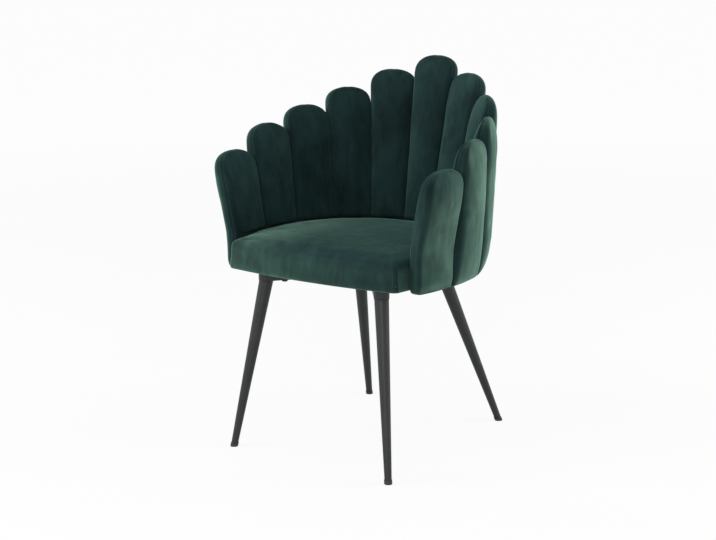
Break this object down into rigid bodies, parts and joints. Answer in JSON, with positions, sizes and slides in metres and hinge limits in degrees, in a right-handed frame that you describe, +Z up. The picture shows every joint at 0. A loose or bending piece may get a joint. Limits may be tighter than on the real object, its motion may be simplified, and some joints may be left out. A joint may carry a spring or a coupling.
{
  "type": "upholstered chair",
  "caption": "Dining armchair with a scalloped shell back of upright velvet padded channels, a thick padded seat and splayed tapered black metal legs",
  "frame": {"origin": "on the floor, under the middle of the chair's outer box", "axes": "+Z up, -Y to the front of the chair, +X to the right of someone who faces the chair; the chair is the same on both sides of X = 0"},
  "size_m": [0.59, 0.5348, 0.85],
  "materials": {
    "velvet": "soft short-pile velvet",
    "foam": "open cell",
    "plywood": "raw",
    "dust_cloth": "matt non-woven",
    "zinc": "zinc plated",
    "black_steel": "black oxide",
    "leg_paint": "satin powder coat",
    "foot_plastic": "moulded"
  },
  "bodies": {
    "root": {"pad_cover_01": "velvet", "pad_foam_01": "foam", "pad_slat_01": "plywood", "pad_cover_02": "velvet", "pad_foam_02": "foam", "pad_slat_02": "plywood", "pad_cover_03": "velvet", "pad_foam_03": "foam", "pad_slat_03": "plywood", "pad_cover_04": "velvet", "pad_foam_04": "foam", "pad_slat_04": "plywood", "pad_cover_05": "velvet", "pad_foam_05": "foam", "pad_slat_05": "plywood", "pad_cover_06": "velvet", "pad_foam_06": "foam", "pad_slat_06": "plywood", "pad_cover_07": "velvet", "pad_foam_07": "foam", "pad_slat_07": "plywood", "pad_cover_08": "velvet", "pad_foam_08": "foam", "pad_slat_08": "plywood", "pad_cover_09": "velvet", "pad_foam_09": "foam", "pad_slat_09": "plywood", "pad_cover_10": "velvet", "pad_foam_10": "foam", "pad_slat_10": "plywood", "pad_cover_11": "velvet", "pad_foam_11": "foam", "pad_slat_11": "plywood", "shell_rail": "plywood", "seat_board": "plywood", "seat_foam": "foam", "seat_cover": "velvet", "dust_cover": "dust_cloth", "slat_screws": "zinc", "rail_screws": "zinc", "leg_bolts": "black_steel", "leg_tee_nuts": "zinc", "leg_front_left": "leg_paint", "leg_plate_front_left": "leg_paint", "foot_glide_front_left": "foot_plastic", "leg_front_right": "leg_paint", "leg_plate_front_right": "leg_paint", "foot_glide_front_right": "foot_plastic", "leg_back_left": "leg_paint", "leg_plate_back_left": "leg_paint", "foot_glide_back_left": "foot_plastic", "leg_back_right": "leg_paint", "leg_plate_back_right": "leg_paint", "foot_glide_back_right": "foot_plastic"}
  },
  "joints": []
}
